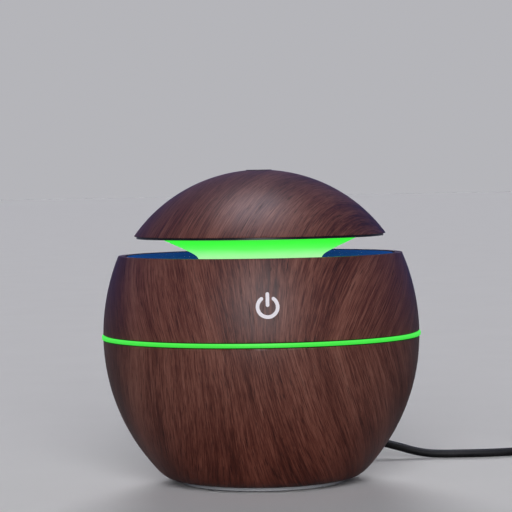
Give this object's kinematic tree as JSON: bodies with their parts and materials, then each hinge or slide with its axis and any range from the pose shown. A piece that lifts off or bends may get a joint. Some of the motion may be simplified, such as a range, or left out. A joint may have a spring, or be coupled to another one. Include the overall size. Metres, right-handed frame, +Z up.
{
  "type": "cool mist humidifier",
  "caption": "Globe-shaped ultrasonic cool mist humidifier with a floating domed cap on a lit funnel, a light ring at the waist and a USB lead.",
  "frame": {"origin": "centre of the globe's footprint, on the table that its feet stand on", "axes": "+Z up along the globe's axis, the touch mark on the front faces -Y, the supply socket at the back faces +Y, +X to the right seen from the front"},
  "size_m": [0.1987, 0.1408, 0.0989],
  "materials": {
    "wood_print": "satin plastic with a dark red-brown wood grain print",
    "gloss_dark": "dark gloss moulding",
    "light_plastic": "translucent plastic lit green from inside",
    "milky_plastic": "milky translucent plastic",
    "pale_plastic": "pale grey moulding",
    "white_print": "white printed mark",
    "steel": "bright steel",
    "rubber": "soft rubber",
    "board": "green printed circuit board",
    "copper": "enamelled copper wire",
    "ferrite": "dark ferrite",
    "black_plastic": "black moulded plastic",
    "cream_plastic": "cream nylon",
    "led_lens": "clear lens over a yellow die",
    "wire": "thin coloured wire insulation",
    "cord_black": "soft black cable jacket"
  },
  "bodies": {
    "root": {"upper_shell": "wood_print", "power_mark": "white_print", "light_ring": "light_plastic", "lower_shell": "wood_print", "base_plate": "pale_plastic", "base_feet": "rubber", "base_screws": "steel", "water_tank": "milky_plastic", "tank_gasket": "rubber", "tank_screws": "steel", "piezo_seal": "rubber", "piezo_disc": "steel", "piezo_clamp": "pale_plastic", "clamp_screws": "steel", "main_board": "board", "board_screws": "steel", "coil_core": "ferrite", "coil_winding": "copper", "filter_capacitors": "black_plastic", "power_transistor": "black_plastic", "control_chip": "black_plastic", "lead_connectors": "cream_plastic", "usb_socket": "steel", "led_board": "board", "leds": "led_lens", "touch_board": "board", "touch_spring": "steel", "fan_frame": "black_plastic", "air_duct": "pale_plastic", "piezo_leads": "wire", "fan_leads": "wire", "led_leads": "wire", "touch_leads": "wire"},
    "fan": {"fan_rotor": "black_plastic"},
    "lid": {"cap_shell": "wood_print", "cap_base": "gloss_dark", "outlet_bush": "gloss_dark", "light_funnel": "light_plastic", "funnel_screws": "steel", "mist_tube": "milky_plastic", "splash_baffle": "milky_plastic", "lid_dish": "gloss_dark", "dish_screws": "steel", "lid_seal": "rubber"},
    "lead": {"micro_plug_tip": "steel", "micro_plug_body": "cord_black", "micro_strain_relief": "cord_black", "cord_lead": "cord_black", "cord_coil": "cord_black", "cord_tie": "black_plastic", "cord_tail": "cord_black", "usb_a_strain_relief": "cord_black", "usb_a_body": "cord_black", "usb_a_shell": "steel", "usb_a_tongue": "cream_plastic"}
  },
  "joints": [
    {"name": "lid_lift", "type": "slide", "parent": "root", "child": "lid", "axis": [0, 0, 1], "range_m": [0, 0.04]},
    {"name": "fan_spin", "type": "hinge", "parent": "root", "child": "fan", "pos_m": [0, -0.011, 0.006], "axis": [0, 0, 1], "continuous": true},
    {"name": "lead_pull", "type": "slide", "parent": "root", "child": "lead", "axis": [0, 1, 0], "range_m": [0, 0.01]}
  ]
}
